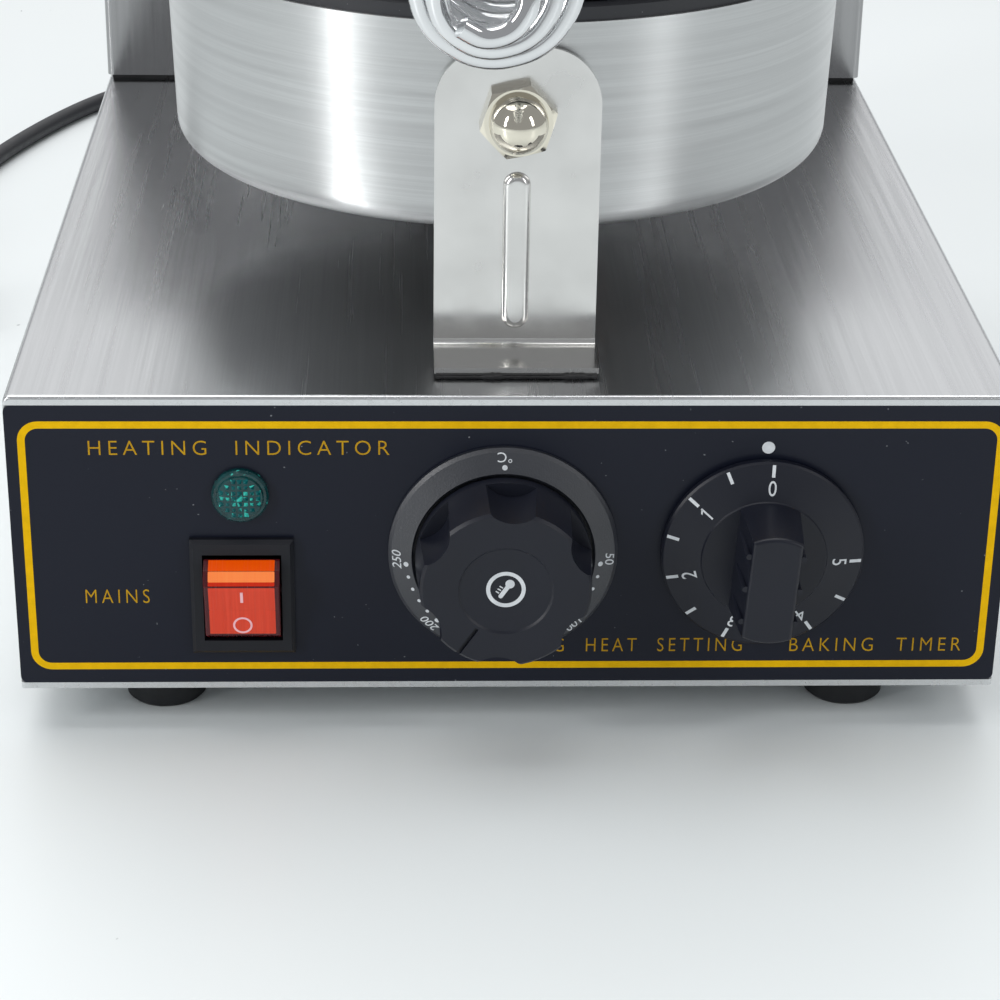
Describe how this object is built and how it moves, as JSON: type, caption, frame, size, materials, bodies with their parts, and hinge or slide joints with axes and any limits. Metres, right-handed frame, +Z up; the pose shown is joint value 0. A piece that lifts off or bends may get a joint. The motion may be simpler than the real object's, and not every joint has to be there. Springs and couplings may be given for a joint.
{
  "type": "waffle cone maker",
  "caption": "Counter-top electric waffle cone maker: brushed-steel base with knob and rocker controls, round clamshell baking pans, rear hinge column and coiled-wire lid handle.",
  "frame": {"origin": "centre of the machine's footprint on the surface it stands on, without its cord", "axes": "+Z up, the control panel faces -Y, +X to the right as the user sees it"},
  "size_m": [0.4092, 0.6313, 0.2355],
  "materials": {
    "brushed_steel": "brushed stainless steel, satin",
    "galvanised_sheet": "galvanised sheet, dull",
    "zinc_steel": "zinc-plated steel",
    "panel_lacquer": "printed black panel film, semi-gloss",
    "black_plastic": "fine-grained black plastic",
    "red_plastic": "translucent red plastic, glossy",
    "teal_lens": "prismatic teal lens",
    "grey_plastic": "heat-resistant moulded plastic",
    "shaft_steel": "turned steel",
    "copper": "drawn copper",
    "wire_insulation": "silicone-sheathed wire",
    "polished_steel": "polished stainless steel",
    "black_sealant": "black sealing strip",
    "nickel_plate": "bright nickel plate",
    "nonstick_coating": "black non-stick coating on a cast plate",
    "heater_sheath": "heat-darkened steel sheath",
    "ceramic_fibre": "white ceramic fibre",
    "bronze": "sintered bronze",
    "chrome": "bright chrome plate",
    "cord_rubber": "black flexible cord sheath",
    "pin_brass": "plated brass",
    "foot_rubber": "black rubber"
  },
  "bodies": {
    "machine": {"base_housing": "brushed_steel", "column_housing": "brushed_steel", "column_cover": "brushed_steel", "lower_pan": "brushed_steel", "hinge_bracket": "brushed_steel", "rear_bracket": "brushed_steel", "bottom_cover": "galvanised_sheet", "base_fasteners": "zinc_steel", "bracket_fasteners": "zinc_steel", "column_fasteners": "zinc_steel", "lower_plate_screws": "zinc_steel", "panel_nuts": "zinc_steel", "thermostat_screws": "zinc_steel", "front_bolt": "zinc_steel", "thermostat_body": "zinc_steel", "hinge_clips": "zinc_steel", "control_panel": "panel_lacquer", "switch_housing": "black_plastic", "thermostat_bezel": "black_plastic", "lamp_lens": "teal_lens", "lamp_body": "grey_plastic", "timer_body": "grey_plastic", "terminal_block": "grey_plastic", "hinge_tube": "shaft_steel", "thermostat_bulb": "copper", "wiring_loom": "wire_insulation", "front_bracket": "polished_steel", "bracket_sealant": "black_sealant", "column_gasket": "black_sealant", "front_acorn_nut": "nickel_plate", "lower_plate": "nonstick_coating", "lower_heating_element": "heater_sheath", "lower_insulation": "ceramic_fibre", "lower_lead_sleeve": "ceramic_fibre", "cord_gland": "cord_rubber", "power_cord": "cord_rubber", "cord_coil": "cord_rubber", "cord_tie": "cord_rubber", "plug_body": "cord_rubber", "plug_pins": "pin_brass", "foot_front_left": "foot_rubber", "foot_front_right": "foot_rubber", "foot_rear_left": "foot_rubber", "foot_rear_right": "foot_rubber"},
    "lid": {"lid_arm": "brushed_steel", "hinge_bushes": "bronze", "upper_pan": "brushed_steel", "upper_plate": "nonstick_coating", "upper_heating_element": "heater_sheath", "upper_insulation": "ceramic_fibre", "lid_fasteners": "zinc_steel", "handle_mount": "chrome", "handle_rod": "chrome", "handle_spring_grip": "chrome"},
    "thermostat_dial": {"thermostat_shaft": "shaft_steel", "thermostat_knob": "black_plastic"},
    "timer_dial": {"timer_shaft": "shaft_steel", "timer_knob": "black_plastic"},
    "power_rocker": {"rocker_button": "red_plastic"}
  },
  "joints": [
    {"name": "lid_hinge", "type": "hinge", "parent": "machine", "child": "lid", "pos_m": [0, 0.1184, 0.1762], "axis": [-1, 0, 0], "range_deg": [0, 100]},
    {"name": "thermostat_turn", "type": "hinge", "parent": "machine", "child": "thermostat_dial", "pos_m": [-0.0022, -0.1136, 0.0497], "axis": [0, 1, 0], "range_deg": [-214, 54]},
    {"name": "timer_turn", "type": "hinge", "parent": "machine", "child": "timer_dial", "pos_m": [0.0604, -0.1136, 0.0497], "axis": [0, 1, 0], "range_deg": [-5.5, 264.5]},
    {"name": "rocker_tilt", "type": "hinge", "parent": "machine", "child": "power_rocker", "pos_m": [-0.065, -0.1106, 0.0379], "axis": [-1, 0, 0], "range_deg": [0, 24]}
  ]
}
